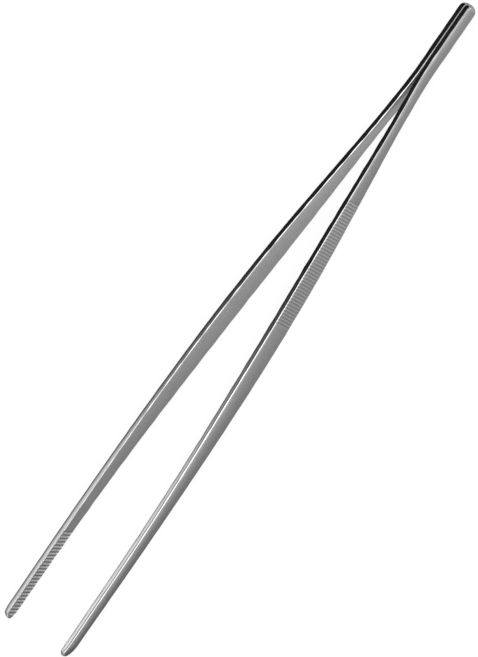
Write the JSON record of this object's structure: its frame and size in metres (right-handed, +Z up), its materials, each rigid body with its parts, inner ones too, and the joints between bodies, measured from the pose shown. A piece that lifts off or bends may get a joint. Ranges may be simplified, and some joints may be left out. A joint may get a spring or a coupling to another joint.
{
  "type": "aquascaping tweezers",
  "caption": "Long straight tweezers of two sprung steel strips, joined at the heel, with ribbed grips and transverse teeth in the slim jaws.",
  "frame": {"origin": "on the surface that the tweezers lie on, below the middle of their whole length, on the plane between the two strips", "axes": "+X from the butt to the tips, +Y from the left arm to the right arm across the gap, +Z up, along the width of the strips; the tweezers lie on the side edges of the two grips"},
  "size_m": [0.3, 0.0342, 0.0115],
  "materials": {
    "strip_steel": "satin-polished stainless steel with bright polished edges",
    "weld_steel": "unfinished fused steel inside the heel"
  },
  "bodies": {
    "heel": {"left_heel": "strip_steel", "right_heel": "strip_steel", "spot_welds": "weld_steel"},
    "left_arm": {"left_arm": "strip_steel"},
    "right_arm": {"right_arm": "strip_steel"}
  },
  "joints": [
    {"name": "left_flex", "type": "hinge", "parent": "heel", "child": "left_arm", "pos_m": [-0.09321, -0.00336, 0.00575], "axis": [0, 0, 1], "range_deg": [0, 3.38], "stiffness_Nm_per_rad": 8},
    {"name": "right_flex", "type": "hinge", "parent": "heel", "child": "right_arm", "pos_m": [-0.09321, 0.00336, 0.00575], "axis": [0, 0, -1], "range_deg": [0, 3.38], "stiffness_Nm_per_rad": 8}
  ]
}
